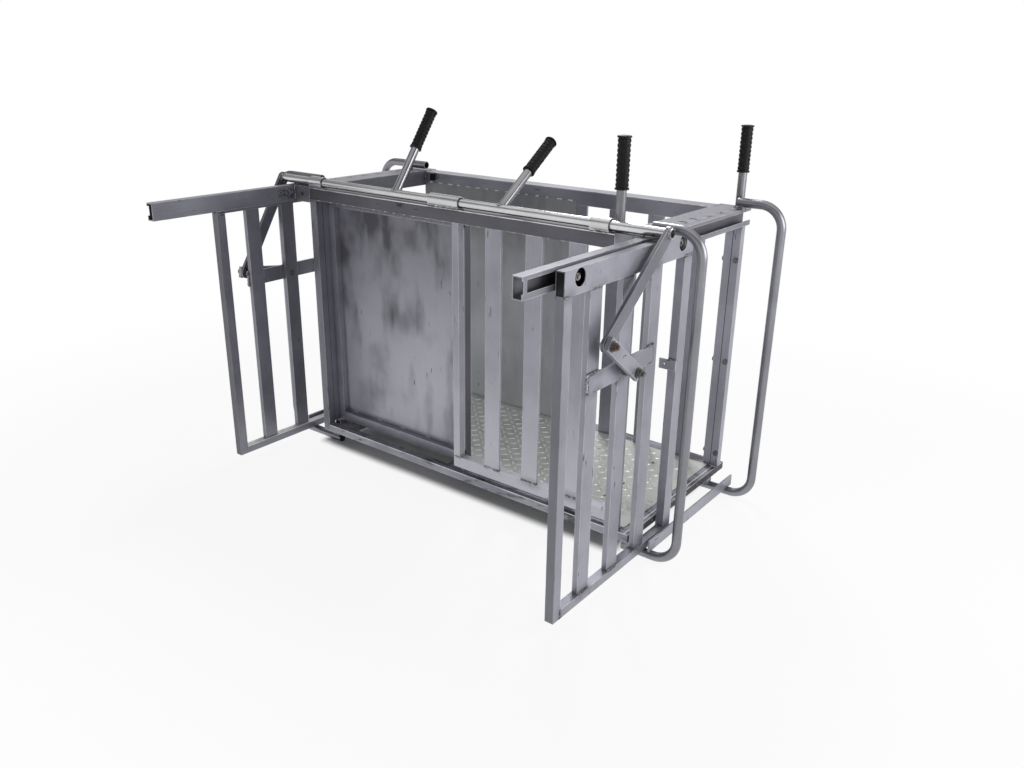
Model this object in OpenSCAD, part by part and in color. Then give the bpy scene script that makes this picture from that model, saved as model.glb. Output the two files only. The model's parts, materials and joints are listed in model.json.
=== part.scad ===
// Livestock weighing crate: welded aluminium crate with a sliding gate and a hand lever at each end.
// X runs along the crate, Y across it from the lever side, Z up. Lengths are in millimetres.
// The origin is the middle of the load bar holes, on the underside of the base.

/* [Overall] */
// Middle of the crate to the web of each gate track
end_reach = 680; // [640:1:740]
// Middle of the crate to the outer face of each side
half_width = 320; // [300:1:360]
// Underside of the base to the top of the end rails
top_height = 896; // [840:1:960]
// Underside of the base to the top of the tread plate
floor_height = 27; // [24:1:32]
// Underside of the base down to the ground
ground_drop = 62; // [60:1:80]

/* [Frame] */
// Wall of every hollow bar
wall = 3; // [2:0.5:4]
// Width of the end rails, along the crate
end_rail_w = 75; // [60:1:90]
// Width of the side rails, across the crate
side_rail_w = 60; // [54:1:64]
// Height of the top rail on the lever side
near_rail_h = 40; // [35:1:50]
// Height of the top rail on the far side
far_rail_h = 50; // [40:1:60]
// Drop of the side rails below the end rails
rail_step = 3; // [2:0.5:6]
// Width of the posts, along the crate
post_w = 30; // [25:1:36]
// Depth of the posts, across the crate
post_d = 54; // [45:1:56]
// How far the far right post stands out past its track web
post_out = 26; // [20:0.5:26.5]
// Width of each of the two bars of the far right post
twin_w = 26; // [22:1:28]
// Depth of the far right post
twin_d = 26; // [22:1:32]
// Height of the base rail on the lever side
base_rail_h = 25; // [20:1:30]
// Depth of the bars on the lever side
near_bar_d = 30; // [25:1:36]
// Width of the base member at the right end
sill_w = 46; // [40:1:56]
// How far the right base member stands out past its track web
sill_out = 24; // [16:1:25]
// Near right post beyond the inner edge of its end rail
near_post_in = 25; // [15:1:40]
// Length of a slot in the right end rail
slot_len = 26; // [20:1:36]
// Width of a slot in the right end rail
slot_w = 7; // [5:0.5:10]
// Distance of the first slot from the middle
slot_y = 54; // [40:1:80]
// Spacing of the two slots
slot_pitch = 62; // [45:1:80]
// Bore in the end cap of the left end rail
cap_bore = 13; // [8:0.5:16]

/* [Floor and load bars] */
// Thickness of the tread plate
plate_t = 3; // [2:0.5:6]
// Lap of the tread plate over the right base member
plate_lap = 14; // [3:1:20]
// Track web to each row of load bar holes
seat_x = 157; // [135:1:180]
// Width of each load bar seat
seat_w = 60; // [50:1:80]
// Middle of the crate to the inner load bar holes
seat_hole_in = 46; // [40:1:90]
// Middle of the crate to the outer load bar holes
seat_hole_out = 153; // [130:1:200]
// Bore of the load bar holes
seat_bore = 13; // [9:0.5:16]
// Width of the middle joist
joist_w = 40; // [30:1:60]

/* [Sides] */
// Width of the flat slats
slat_w = 58; // [50:1:66]
// Thickness of the flat slats
slat_t = 8; // [6:0.5:12]
// Pitch of the slats
slat_pitch = 148; // [135:1:152]
// Middle of the crate to the first slat on the lever side
near_slat_x = 166; // [140:1:180]
// Middle of the crate to the first slat on the far side
far_slat_x = 86; // [70:1:100]
// Middle of the crate to the centre stile
stile_x = 36; // [30:1:50]
// Width of the centre stile and of the panel stiles
stile_w = 25; // [20:1:30]
// Depth of the centre stile
stile_d = 25; // [20:1:28]
// Right edge of the panel in from the right edge of the centre stile
panel_short = 18; // [12:1:22]
// Underside of the panel above the floor
panel_lift = 8; // [4:1:14]
// Gap between the base rail and the slat rail
slat_rail_gap = 21; // [15:1:30]
// Height of the slat rail
slat_rail_h = 36; // [30:1:44]
// Depth of the panel frame
panel_d = 25; // [20:1:30]
// Height of the bottom rail of the panel
panel_rail_h = 32; // [25:1:40]
// How far the panel laps behind the post
panel_lap = 24; // [15:1:28]
// Thickness of the side sheets
sheet_t = 2; // [1.5:0.5:3]
// Right edge of the far sheet from the middle
far_sheet_x = 101; // [95:1:140]
// Top of the far sheet below the top of its rail
far_sheet_drop = 38; // [30:1:44]

/* [Gate tracks] */
// Height of the gate track
track_h = 54; // [50:1:60]
// Depth of the gate track
track_d = 27; // [25:1:32]
// Length of the track beyond the side of the crate
track_over = 542; // [500:1:600]
// Height of the upturned lip
lip_up = 15; // [10:0.5:16]
// Height of the downturned lip
lip_down = 10; // [6:0.5:12]
// Width of the stop strip at the open end
stop_w = 12; // [8:1:20]
// Set back of the stop strip from the open end
stop_in = 6; // [3:1:12]

/* [Gates] */
// Length of a gate
gate_len = 619; // [600:1:640]
// Gap between the track and the gate
gate_gap = 3; // [2:0.5:6]
// Thickness of the gate frame
gate_t = 26; // [22:1:30]
// Height of the gate top rail
gate_rail_h = 61; // [55:1:70]
// Drop of the gate top rail below the top of the track
gate_rail_drop = 7; // [4:0.5:12]
// Gap between the gate and the pipe feet
gate_lift = 2; // [1:0.5:6]
// Width of the outer stile
gate_stile_w = 31; // [26:1:36]
// Width of the inner stile
gate_end_w = 42; // [34:1:50]
// Height of the gate bottom rail
gate_sill_h = 26; // [22:1:32]
// Width of the gate slats
gate_slat_w = 52; // [44:1:60]
// Thickness of the gate slats
gate_slat_t = 16; // [14:1:18]
// Set back of the gate slats from the face of the gate
slat_set = 5; // [3:0.5:6]
// Outer edge of the gate to the middle of the first slat
gate_slat_y = 142; // [125:1:155]
// Pitch of the gate slats
gate_slat_pitch = 147; // [135:1:155]
// Height of the flat bar across the gate
band_h = 50; // [40:1:60]
// Thickness of the flat bar across the gate
band_t = 6; // [4:0.5:8]
// Middle of the flat bar above the link bolt
band_up = 6; // [0:0.5:10]
// Length of the catch plate
catch_len = 52; // [44:1:54]
// Height of the catch plate
catch_h = 30; // [24:1:36]
// Thickness of the catch plate
catch_t = 5; // [3:0.5:6]
// Drop of the catch plate below the link bolt
catch_drop = 54; // [40:1:70]
// Radius of the hole in the catch plate
catch_hole_r = 3; // [2:0.5:4]

/* [Rollers] */
// Radius of a roller
roller_r = 21; // [19:0.1:22]
// Width of a roller
roller_w = 15; // [12:0.5:16]
// Running gap under a roller
roller_gap = 0.3; // [0.3:0.1:1]
// Radius of a roller axle
axle_r = 5; // [4:0.5:5.5]
// Running clearance round an axle, a link bolt or a torque tube
fit_gap = 0.05; // [0.03:0.01:0.1]
// Outer edge of the gate to the first roller
roller_y = 62; // [50:1:80]
// Inner end of the gate to the second roller
roller_end = 59; // [50:1:80]
// Radius of the access holes in the gate top rail
access_r = 22; // [18:0.5:24]
// Radius of the axle collar
collar_r = 8; // [7:0.5:8]
// Width of an axle retaining ring
ring_w = 1.5; // [1:0.5:1.5]
// Height of an axle bolt head
axle_head = 7; // [5:0.5:8]

/* [Levers and cranks] */
// Outer radius of the torque tubes and levers
tube_r = 13.45; // [12:0.05:14]
// Wall of the pipes
pipe_wall = 2.5; // [2:0.25:3]
// Outer radius of the bearing sleeves
sleeve_r = 19; // [18:0.5:22]
// Wall of the bearing sleeves
sleeve_wall = 3; // [2.5:0.25:3.5]
// Width of the weld seat under a sleeve
sleeve_seat = 24; // [18:1:30]
// Length of the end sleeves
sleeve_len = 60; // [50:1:62]
// Length of the middle sleeve
sleeve_mid_len = 120; // [100:1:140]
// Left track web to the left sleeve
sleeve_left_x = 106; // [105:1:140]
// Right track web to the right sleeve
sleeve_right_x = 125; // [110:1:150]
// Inset of the bush ends in a sleeve
bush_in = 1; // [0.5:0.5:3]
// Gap between the two torque tubes
tube_split = 4; // [2:1:10]
// Distance of the torque tubes in from the side
tube_in = 14; // [13:0.5:17]
// Middle of the crate to each torque lever
lever_x = 210; // [180:1:240]
// Length of a lever from the torque tube axis
lever_len = 296; // [260:1:340]
// Lead of the levers over the cranks, in degrees
lever_lead = 4; // [0:0.5:6]
// Lean of the left crank, in degrees
left_swing = 32; // [30:0.5:36]
// Lean of the right crank, in degrees
right_swing = 51; // [48:0.5:53]
// Crank bolt to torque tube axis
crank_len = 360; // [350:1:370]
// Width of the crank and link bars
crank_w = 38; // [34:1:44]
// Thickness of the crank bars
crank_t = 10; // [8:0.5:12]
// Link bar beyond its bolts
link_end = 15; // [13:0.5:20]
// Gap between the gate bar and the crank
crank_gap = 13; // [11:0.5:16]
// Torque tube beyond the crank
tube_end = 6; // [3:0.5:8]
// Link bolt to link bolt
link_len = 168; // [160:1:176]
// Thickness of the links
link_t = 12; // [8:0.5:14]
// Gap between the crank and the link
link_gap = 2; // [1:0.5:3]
// Link bolt below the torque tube axis
pivot_drop = 330; // [320:1:340]
// Radius of the pivot bolts
bolt_r = 6; // [5:0.5:8]
// Across corners radius of the bolt heads and nuts
hex_r = 11; // [9:0.5:13]
// Height of a crank bolt head
head_h = 6; // [4:0.5:6.5]
// Height of a nut
nut_h = 10; // [8:0.5:12]
// Thickness of a washer
washer_t = 2; // [1:0.5:3]
// Radius of a washer
washer_r = 14; // [12:0.5:16]
// Bolt showing past a nut
bolt_tail = 6; // [3:0.5:10]

/* [Grips] */
// Outer radius of the grips
grip_r = 17.6; // [16.5:0.1:19]
// Outer radius of the flanges at both ends of the grips
grip_flange_r = 19.4; // [19:0.1:21]
// Thickness of those flanges
grip_flange_t = 5; // [4:0.5:6]
// Depth of the grooves in the grips
grip_cut = 1.4; // [0.5:0.1:1.6]
// Length of the grips
grip_len = 134; // [120:1:145]
// Closed end of the grips
grip_cap = 4; // [3:0.5:6]
// Number of ribs on the grips
grip_ribs = 10; // [8:1:14]
// Share of each rib pitch that is proud
rib_share = 0.65; // [0.4:0.05:0.75]
// Height of the upright hand grips above the end rails
post_grip_h = 240; // [200:1:280]
// Right track web to the near hand grip
near_grip_x = 91; // [90:1:110]
// Gap between the torque tube and the near hand grip
near_grip_gap = 8; // [7:0.5:12]
// Far hand grip in from the far side
far_grip_in = 24; // [20:1:26]
// Far hand grip in from its track web
far_grip_x = 2; // [0:0.5:8]

/* [Pipe loops and guides] */
// Outer radius of the loop pipe
loop_r = 14; // [12:0.5:15]
// Loop pipe axis beyond the track web
loop_out = 152; // [145:1:165]
// Loop pipe axis in from the side of the crate
loop_y = 57; // [56:1:60]
// Bend radius of the loop pipe
loop_bend = 70; // [50:1:80]
// Packer between the track and the loop pipe
loop_lift = 6; // [4:0.5:10]
// Right loop pipe end beyond the track web
loop_in = 8; // [4:1:14]
// Left loop pipe end short of the track web
loop_back = 78; // [40:1:90]
// Height of the gate guide bars
guide_h = 36; // [30:1:44]
// Thickness of the gate guide bars
guide_t = 6; // [4:0.5:8]
// Gap between the gate and its guide bar
guide_gap = 12; // [8:0.5:16]
// Length of the guide bars past the pipe feet
guide_over = 24; // [16:1:40]
// Width of the foot packers
foot_w = 24; // [20:1:26]

/* [Small fittings] */
// Width of the bump stop
bump_w = 14; // [10:1:20]
// Height of the bump stop
bump_h = 26; // [20:1:34]
// Bump stop in from the left end
bump_x = 36; // [30:1:60]
// Radius of the post bolts
stud_r = 5; // [4:0.5:6]
// Across corners radius of the post bolt heads
stud_hex = 9; // [7:0.5:10]
// Height of the post bolt heads
stud_head = 6; // [4:0.5:8]
// Heights of the post bolts as shares of the post
stud_shares = [0.06, 0.46, 0.87];

/* [Hidden] */
$fn = 72;
over = 1;
hex_sides = 6;
rail_top = top_height - rail_step;
rail_in = half_width - side_rail_w;
end_in = end_reach - end_rail_w;
track_z = top_height - track_h;
near_under = rail_top - near_rail_h;
far_under = rail_top - far_rail_h;
plate_z = floor_height - plate_t;
post_x = end_in - post_w;
seat_at = end_reach - seat_x;
right_post_x = end_reach + post_out - 2 * twin_w;
sill_x = end_reach + sill_out - sill_w;
near_post_x = end_in + near_post_in;
near_in = half_width - near_bar_d;
post_in = half_width - post_d;
panel_in = post_in - panel_d;
panel_top = near_under;
stile_end = stile_x + stile_w;
panel_x = stile_end - panel_short;
panel_z = floor_height + panel_lift;
slat_rail_z = base_rail_h + slat_rail_gap;
tube_y = tube_in - half_width;
tube_z = rail_top + sleeve_r;
bush_r = sleeve_r - sleeve_wall;
sleeve_left_at = sleeve_left_x - end_reach;
sleeve_right_at = end_reach - sleeve_right_x;
gate_x = end_reach + track_d + gate_gap;
gate_out = gate_x + gate_t;
slat_face = gate_out - slat_set;
band_x = slat_face + band_t;
crank_x = band_x + crank_gap;
link_x = crank_x + crank_t + link_gap;
nut_x = link_x + link_t + link_gap;
foot_top = 2 * loop_r - ground_drop;
gate_z = foot_top + gate_lift;
gate_top = top_height - gate_rail_drop;
rail_z = gate_top - gate_rail_h;
pivot_in = gate_slat_y + gate_slat_pitch;
pivot_z = tube_z - pivot_drop;
axle_z = track_z + wall + roller_gap + roller_r;
roller_x = end_reach + (track_d - roller_w) / 2;
lip_x = end_reach + track_d - wall;
loop_x = end_reach + loop_out;
loop_at = half_width - loop_y;
loop_top = top_height + loop_lift + loop_r;
loop_foot = loop_r - ground_drop;
guide_x = gate_out + guide_gap;
grip_top = top_height + post_grip_h;
near_grip_at = end_reach - near_grip_x;
near_grip_y = tube_y + 2 * tube_r + near_grip_gap;
far_grip_y = half_width - far_grip_in;
far_grip_at = end_reach - far_grip_x;
function pivot_rise(s) = pivot_drop - crank_len * cos(s);
function pivot_y(s) = tube_y - crank_len * sin(s) + sqrt(pow(link_len, 2) - pow(pivot_rise(s), 2));
function link_lean(s) = -asin(pivot_rise(s) / link_len);
function gate_y(s) = pivot_y(s) - pivot_in;

// Sub-part to draw, or all of them

// Solid block between two corners
module slab(a, b) {
  translate(a) cube(b - a);
}

// Hollow bars between two corners, open along one axis
module bar_x(a, b) {
  difference() {
    slab(a, b);
    slab([a[0] - over, a[1] + wall, a[2] + wall], [b[0] + over, b[1] - wall, b[2] - wall]);
  }
}

module bar_y(a, b) {
  difference() {
    slab(a, b);
    slab([a[0] + wall, a[1] - over, a[2] + wall], [b[0] - wall, b[1] + over, b[2] - wall]);
  }
}

module bar_z(a, b) {
  difference() {
    slab(a, b);
    slab([a[0] + wall, a[1] + wall, a[2] - over], [b[0] - wall, b[1] - wall, b[2] + over]);
  }
}

// Round bar along X from x0 to x1
module rod_x(x0, x1, y, z, r) {
  translate([x0, y, z]) rotate([0, 90, 0]) cylinder(h = x1 - x0, r = r);
}

// Hexagon along X from x0 to x1
module hex_x(x0, x1, y, z, r) {
  translate([x0, y, z]) rotate([0, 90, 0]) cylinder(h = x1 - x0, r = r, $fn = hex_sides);
}

module pipe_x(x0, x1, y, z, r, w) {
  difference() {
    rod_x(x0, x1, y, z, r);
    rod_x(x0 - over, x1 + over, y, z, r - w);
  }
}

module on_left() {
  mirror([1, 0, 0]) children();
}

// Crank frame: the bar hangs down from the torque tube axis and leans out by s
module at_crank(s) {
  translate([0, tube_y, tube_z]) rotate([-s, 0, 0]) children();
}

module at_gate(s) {
  translate([0, gate_y(s), 0]) children();
}

// Row of load bar holes, right through the floor
module seat_holes() {
  for (x = [-seat_at, seat_at], y = [-seat_hole_out, -seat_hole_in, seat_hole_in, seat_hole_out])
    translate([x, y, -over]) cylinder(h = floor_height + 2 * over, d = seat_bore);
}

module base_frame() {
  color("silver") difference() {
    union() {
      bar_x([-post_x, -half_width, 0], [sill_x + sill_w, -near_in, base_rail_h]);
      bar_x([-post_x, rail_in, 0], [sill_x, half_width, plate_z]);
      for (x = [-seat_at, seat_at])
        bar_y([x - seat_w / 2, -near_in, 0], [x + seat_w / 2, rail_in, plate_z]);
      bar_y([-joist_w / 2, -near_in, 0], [joist_w / 2, rail_in, plate_z]);
      bar_y([-end_in, -post_in, 0], [-post_x, post_in, plate_z]);
      bar_y([sill_x, -near_in, 0], [sill_x + sill_w, half_width, plate_z]);
      for (m = [0, 1], n = [0, 1])
        mirror([m, 0, 0]) mirror([0, n, 0]) foot_packer(wall + (m == 1 ? post_x : sill_x));
    }
    seat_holes();
  }
}

// Packer between a pipe foot and the base
module foot_packer(x) {
  difference() {
    slab([x, loop_at - loop_r, loop_foot + loop_r / 2], [x + foot_w, loop_at + loop_r, 0]);
    rod_x(x - over, x + foot_w + over, loop_at, loop_foot, loop_r);
  }
}

module floor_plate() {
  color("gainsboro") difference() {
    translate([0, 0, plate_z]) linear_extrude(plate_t) polygon([[-end_in, -panel_in],
      [panel_x, -panel_in], [panel_x, -near_in], [sill_x + plate_lap, -near_in],
      [sill_x + plate_lap, rail_in], [-end_in, rail_in]]);
    seat_holes();
  }
}

module post_near_left() {
  color("silver") {
    bar_z([-end_in, -half_width, 0], [-post_x, -post_in - post_d / 2, near_under]);
    bar_z([-end_in, -post_in - post_d / 2, panel_z], [-post_x, -post_in, near_under]);
  }
}

module post_far_left() {
  color("silver") bar_z([-end_in, post_in, 0], [-post_x, half_width, far_under]);
}

module post_near_right() {
  color("silver") bar_z([near_post_x, -half_width, base_rail_h],
    [near_post_x + near_bar_d, -near_in, track_z]);
}

module post_far_right() {
  color("silver") for (k = [0, 1])
    bar_z([right_post_x + twin_w * k, post_in, plate_z], [right_post_x + twin_w * (k + 1), post_in + twin_d, track_z]);
}

module near_top_rail() {
  color("silver") bar_x([-end_in, -half_width, near_under], [end_in, -rail_in, rail_top]);
}

module far_top_rail() {
  color("silver") bar_x([-end_in, rail_in, far_under], [end_in, half_width, rail_top]);
}

module end_rail() {
  difference() {
    slab([end_in, -half_width, track_z], [end_reach, half_width, top_height]);
    slab([end_in + wall, wall - half_width, track_z + wall],
      [end_reach - wall, half_width - wall, top_height - wall]);
  }
}

module end_rail_left() {
  color("silver") difference() {
    on_left() end_rail();
    translate([-end_reach + end_rail_w / 2, -half_width - over, track_z + track_h / 2])
      rotate([-90, 0, 0]) cylinder(h = wall + 2 * over, d = cap_bore);
  }
}

module end_rail_right() {
  color("silver") difference() {
    end_rail();
    for (k = [0, 1])
      translate([end_reach - wall - slot_len, slot_pitch * k - slot_y, top_height - wall - over])
        cube([slot_len, slot_w, wall + 2 * over]);
  }
}

// Lipped channel that opens outwards, with a stop strip at its free end
module track() {
  y0 = -half_width - track_over;
  x1 = end_reach + track_d;
  slab([end_reach, y0, track_z], [end_reach + wall, half_width, top_height]);
  slab([end_reach, y0, track_z], [x1, half_width, track_z + wall]);
  slab([end_reach, y0, top_height - wall], [x1, half_width, top_height]);
  slab([lip_x, y0, track_z], [x1, half_width, track_z + lip_up]);
  slab([lip_x, y0, top_height - lip_down], [x1, half_width, top_height]);
  slab([lip_x, y0 + stop_in, track_z], [x1, y0 + stop_in + stop_w, top_height]);
}

module track_left() {
  color("silver") on_left() track();
}

module track_right() {
  color("silver") track();
}

// Centre stile, slat rail and slats on the lever side
module near_slats() {
  color("silver") {
    bar_z([stile_x, -half_width, slat_rail_z + slat_rail_h], [stile_end, stile_d - half_width, near_under]);
    bar_x([stile_x, -half_width, slat_rail_z], [near_post_x, -near_in, slat_rail_z + slat_rail_h]);
    slab([stile_x + stile_w / 2, wall - near_in - stile_d / 2, base_rail_h], [stile_end, -near_in, slat_rail_z]);
    for (x = [near_slat_x : slat_pitch : near_post_x - slat_w])
      translate([x, -half_width, slat_rail_z + slat_rail_h])
        cube([slat_w, slat_t, near_under - slat_rail_z - slat_rail_h]);
  }
}

// Frame of the sheeted panel, one bar deep behind the post
module panel_frame() {
  z0 = panel_z;
  x0 = -post_x - panel_lap;
  color("silver") {
    bar_z([x0, -post_in, z0], [x0 + panel_lap + stile_w, -panel_in, panel_top]);
    bar_z([panel_x - stile_w, -post_in, z0], [panel_x, -panel_in, panel_top]);
    bar_x([stile_w - post_x, -post_in, z0], [panel_x - stile_w, -panel_in, z0 + panel_rail_h]);
    bar_x([stile_w - post_x, -post_in, panel_top - stile_w], [panel_x - stile_w, -panel_in, panel_top]);
    slab([stile_x, -near_in, z0 + wall], [panel_x - wall, -post_in, slat_rail_z + slat_rail_h]);
    slab([stile_x, stile_d - half_width, panel_top - stile_w], [panel_x - wall, -post_in, panel_top]);
  }
}

module panel_sheet() {
  color("gainsboro") slab([-post_x - panel_lap, -panel_in, panel_z],
    [panel_x, sheet_t - panel_in, panel_top]);
}

module far_slats() {
  color("silver") for (x = [far_slat_x : slat_pitch : right_post_x - slat_w])
    translate([x, rail_in, plate_z]) cube([slat_w, slat_t, far_under - plate_z]);
}

module far_sheet() {
  color("gainsboro") slab([-end_in, rail_in - sheet_t, floor_height],
    [far_sheet_x, rail_in, rail_top - far_sheet_drop]);
}

// Quarter bend of pipe in the XZ plane, centred on the origin
module pipe_bend(r, w, bend) {
  rotate([90, 0, 0]) rotate_extrude(angle = 90) translate([bend, 0]) difference() {
    circle(r = r);
    circle(r = r - w);
  }
}

// Pipe loop over the track, down outside the gate and back under the base as a foot
module loop(y, top_x, foot_x) {
  xb = loop_x - loop_bend;
  pipe_x(top_x, xb, y, loop_top, loop_r, pipe_wall);
  pipe_x(foot_x, xb, y, loop_foot, loop_r, pipe_wall);
  translate([xb, y, loop_top - loop_bend]) pipe_bend(loop_r, pipe_wall, loop_bend);
  translate([xb, y, loop_foot + loop_bend]) mirror([0, 0, 1]) pipe_bend(loop_r, pipe_wall, loop_bend);
  translate([loop_x, y, loop_foot + loop_bend]) difference() {
    cylinder(h = loop_top - loop_foot - 2 * loop_bend, r = loop_r);
    translate([0, 0, -over])
      cylinder(h = loop_top - loop_foot - 2 * loop_bend + 2 * over, r = loop_r - pipe_wall);
  }
  difference() {
    slab([end_reach + loop_in, y - loop_r, top_height], [end_reach + track_d, y + loop_r, loop_top]);
    rod_x(end_reach, end_reach + track_d + over, y, loop_top, loop_r);
    slab([end_reach, y - loop_r - over, loop_top - loop_r / 2],
      [end_reach + track_d + over, y + loop_r + over, loop_top + over]);
  }
}

module loop_near_left() {
  color("silver") on_left() loop(-loop_at, end_reach - loop_back, post_x);
}

module loop_near_right() {
  color("silver") loop(-loop_at, end_reach + loop_in, sill_x);
}

module loop_far_left() {
  color("silver") on_left() loop(loop_at, end_reach - loop_back, post_x);
}

module loop_far_right() {
  color("silver") loop(loop_at, end_reach + loop_in, sill_x);
}

module guide() {
  slab([guide_x, -loop_at - guide_over / 2, foot_top],
    [guide_x + guide_t, loop_at + guide_over, foot_top + guide_h]);
}

module guide_left() {
  color("silver") on_left() guide();
}

module guide_right() {
  color("silver") guide();
}

// Bearing sleeve on its weld seat, with a bush inside
module sleeve(x, len) {
  difference() {
    union() {
      rod_x(x - len / 2, x + len / 2, tube_y, tube_z, sleeve_r);
      slab([x - len / 2, tube_y - tube_in, rail_top], [x + len / 2, tube_y + sleeve_seat / 2,
        tube_z - sleeve_r / 2]);
    }
    rod_x(x - len / 2 - over, x + len / 2 + over, tube_y, tube_z, bush_r);
  }
}

module bush(x, len) {
  difference() {
    rod_x(x - len / 2 + bush_in, x + len / 2 - bush_in, tube_y, tube_z, bush_r);
    rod_x(x - len / 2, x + len / 2, tube_y, tube_z, tube_r + fit_gap);
  }
}

module sleeve_left() {
  color("silver") sleeve(sleeve_left_at, sleeve_len);
}

module sleeve_mid() {
  color("silver") sleeve(0, sleeve_mid_len);
}

module sleeve_right() {
  color("silver") sleeve(sleeve_right_at, sleeve_len);
}

module bush_left() {
  color("dimgray") bush(sleeve_left_at, sleeve_len);
}

module bush_mid() {
  color("dimgray") bush(0, sleeve_mid_len);
}

module bush_right() {
  color("dimgray") bush(sleeve_right_at, sleeve_len);
}

// Upright pipe from z0 to z1 on the Z axis
module upright(z0, z1) {
  translate([0, 0, z0]) difference() {
    cylinder(h = z1 - z0, r = tube_r);
    translate([0, 0, -over]) cylinder(h = z1 - z0 + 2 * over, r = tube_r - pipe_wall);
  }
}

// Ribbed grip on the Z axis that closes the pipe at z1
module grip_body(z1) {
  pitch = (grip_len + grip_cap - 2 * grip_flange_t) / grip_ribs;
  rib = pitch * rib_share;
  low = grip_r - grip_cut;
  top = grip_len + grip_cap;
  ribs = [for (k = [0 : grip_ribs - 1]) let (z = grip_flange_t + pitch * k)
    each [[low, z], [low, z + pitch - rib], [grip_r, z + pitch - rib], [grip_r, z + pitch]]];
  translate([0, 0, z1 - grip_len]) rotate_extrude() polygon(concat([[tube_r, 0], [grip_flange_r, 0],
    [grip_flange_r, grip_flange_t]], ribs, [[grip_r, top - grip_flange_t],
    [grip_flange_r, top - grip_flange_t], [grip_flange_r, top], [0, top], [0, grip_len],
    [tube_r, grip_len]]));
}

module hand_post_near() {
  color("silver") translate([near_grip_at, near_grip_y, 0]) upright(rail_top, grip_top);
}

module hand_post_far() {
  color("silver") translate([far_grip_at, far_grip_y, 0]) upright(top_height, grip_top);
}

module hand_grip_near() {
  color("black") translate([near_grip_at, near_grip_y, 0]) grip_body(grip_top);
}

module hand_grip_far() {
  color("black") translate([far_grip_at, far_grip_y, 0]) grip_body(grip_top);
}

module bump_stop() {
  color("dimgray") slab([-end_in + bump_x, rail_in - bump_w, rail_top - rail_step - bump_h],
    [-end_in + bump_x + bump_w, rail_in, rail_top - rail_step]);
}

// Bolts through the far right post and one on the far left post
module post_bolts() {
  color("gray") {
    for (s = stud_shares)
      hex_x(right_post_x - stud_head, right_post_x, post_in + twin_d / 2, plate_z + s * (track_z - plate_z),
        stud_hex);
    for (s = stud_shares)
      translate([right_post_x + 2 * twin_w - stud_hex, post_in, plate_z + s * (track_z - plate_z)])
        rotate([90, 0, 0]) cylinder(h = stud_head, r = stud_hex, $fn = hex_sides);
    hex_x(-post_x, stud_head - post_x, post_in + post_d / 2, far_under - bump_h, stud_hex);
  }
}

module torque_tube(x0) {
  pipe_x(x0, crank_x + crank_t + tube_end, tube_y, tube_z, tube_r, pipe_wall);
}

module torque_tube_left() {
  color("gainsboro") on_left() torque_tube(tube_split / 2);
}

module torque_tube_right() {
  color("gainsboro") torque_tube(tube_split / 2);
}

// Lever coped onto its torque tube
module lever(s) {
  difference() {
    at_crank(s + lever_lead) translate([lever_x, 0, 0]) upright(0, lever_len);
    rod_x(lever_x - 2 * tube_r, lever_x + 2 * tube_r, tube_y, tube_z, tube_r);
  }
}

module lever_left() {
  color("gainsboro") on_left() lever(left_swing);
}

module lever_right() {
  color("gainsboro") lever(right_swing);
}

module grip_left() {
  color("black") on_left() at_crank(left_swing + lever_lead) translate([lever_x, 0, 0]) grip_body(lever_len);
}

module grip_right() {
  color("black") at_crank(right_swing + lever_lead) translate([lever_x, 0, 0]) grip_body(lever_len);
}

module crank(s) {
  at_crank(s) difference() {
    union() {
      slab([crank_x, -crank_w / 2, -crank_len], [crank_x + crank_t, crank_w / 2, 0]);
      for (z = [-crank_len, 0])
        rod_x(crank_x, crank_x + crank_t, 0, z, crank_w / 2);
    }
    rod_x(crank_x - over, crank_x + crank_t + over, 0, 0, tube_r);
    rod_x(crank_x - over, crank_x + crank_t + over, 0, -crank_len, bolt_r);
  }
}

module crank_left() {
  color("silver") on_left() crank(left_swing);
}

module crank_right() {
  color("silver") crank(right_swing);
}

// Inner half of the crank pivot, its head towards the gate
module crank_bolt(s) {
  at_crank(s) {
    rod_x(crank_x - head_h / 2, crank_x + crank_t, 0, -crank_len, bolt_r);
    hex_x(crank_x - head_h, crank_x, 0, -crank_len, hex_r);
  }
}

module crank_bolt_left() {
  color("sienna") on_left() crank_bolt(left_swing);
}

module crank_bolt_right() {
  color("sienna") crank_bolt(right_swing);
}

// Gate frame from its outer edge at y 0
module gate_frame() {
  y1 = gate_len - gate_end_w;
  difference() {
    union() {
      bar_y([gate_x, 0, rail_z], [gate_out, gate_len, gate_top]);
      bar_y([gate_x, gate_stile_w, gate_z], [gate_out, y1, gate_z + gate_sill_h]);
      bar_z([gate_x, 0, gate_z], [gate_out, gate_stile_w, rail_z]);
      for (k = [0 : 2])
        translate([0, gate_slat_y + gate_slat_pitch * k, 0]) bar_z([slat_face - gate_slat_t, -gate_slat_w / 2,
          gate_z + gate_sill_h], [slat_face, gate_slat_w / 2, rail_z]);
      bar_z([gate_x, y1, gate_z], [gate_out, gate_len, rail_z]);
      slab([slat_face, gate_slat_y - gate_slat_w / 2, pivot_z + band_up - band_h / 2],
        [band_x, gate_slat_y + 2 * gate_slat_pitch, pivot_z + band_up + band_h / 2]);
    }
    for (y = [roller_y, gate_len - roller_end]) {
      rod_x(gate_out - wall - over, gate_out + over, y, axle_z, access_r);
      rod_x(gate_x - over, gate_x + wall + over, y, axle_z, axle_r);
    }
    rod_x(gate_x, band_x + over, pivot_in, pivot_z, bolt_r);
  }
}

module gate_frame_left() {
  color("silver") on_left() at_gate(left_swing) gate_frame();
}

module gate_frame_right() {
  color("silver") at_gate(right_swing) gate_frame();
}

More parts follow.
